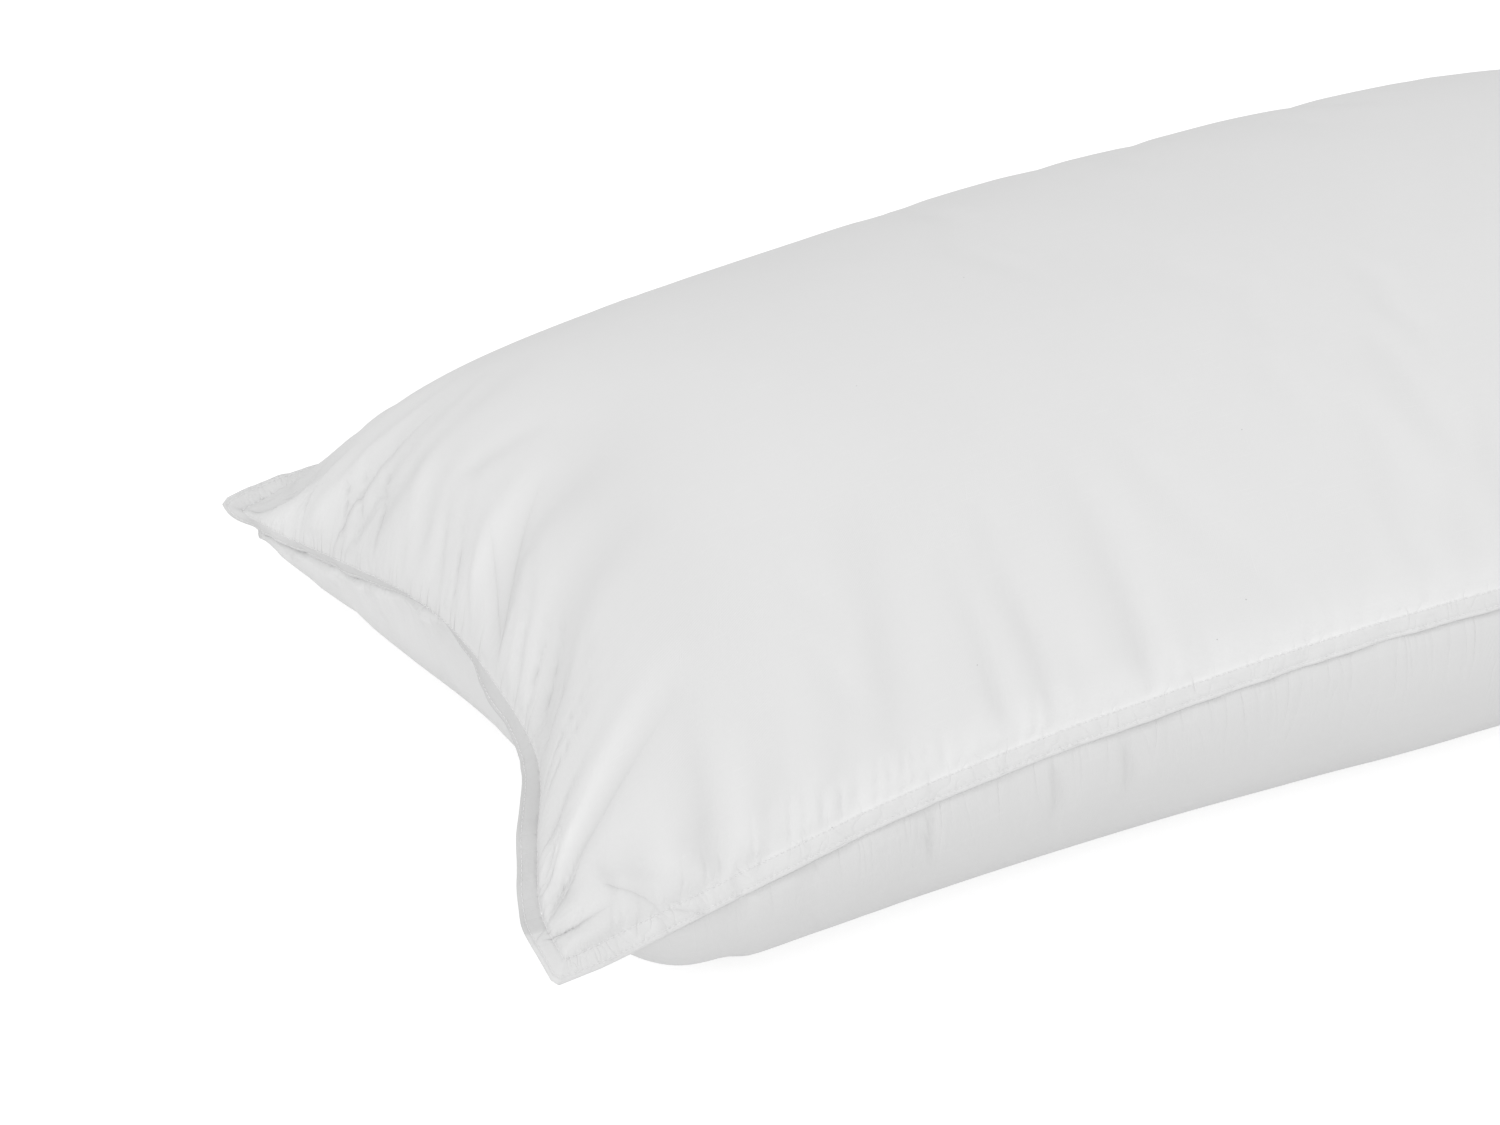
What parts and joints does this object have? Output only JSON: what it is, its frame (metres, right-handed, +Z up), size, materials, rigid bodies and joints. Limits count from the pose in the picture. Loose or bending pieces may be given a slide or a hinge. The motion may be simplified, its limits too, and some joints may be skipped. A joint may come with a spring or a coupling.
{
  "type": "rectangular bed pillow",
  "caption": "Well-filled rectangular bed pillow of plain white cotton with a flat stitched edge, drawn-in sides and soft folds at its corners, lying on its back.",
  "frame": {"origin": "on the surface that the pillow lies on, under the middle of its bounding box", "axes": "+X along the pillow from the end that the picture shows to the other end, +Y across it from the near long side to the far one, +Z up from the flat rest to the crown"},
  "size_m": [0.8752, 0.4658, 0.2132],
  "materials": {
    "white_cotton": "plain weave, matt"
  },
  "bodies": {
    "root": {"pillow": "white_cotton"}
  },
  "joints": []
}
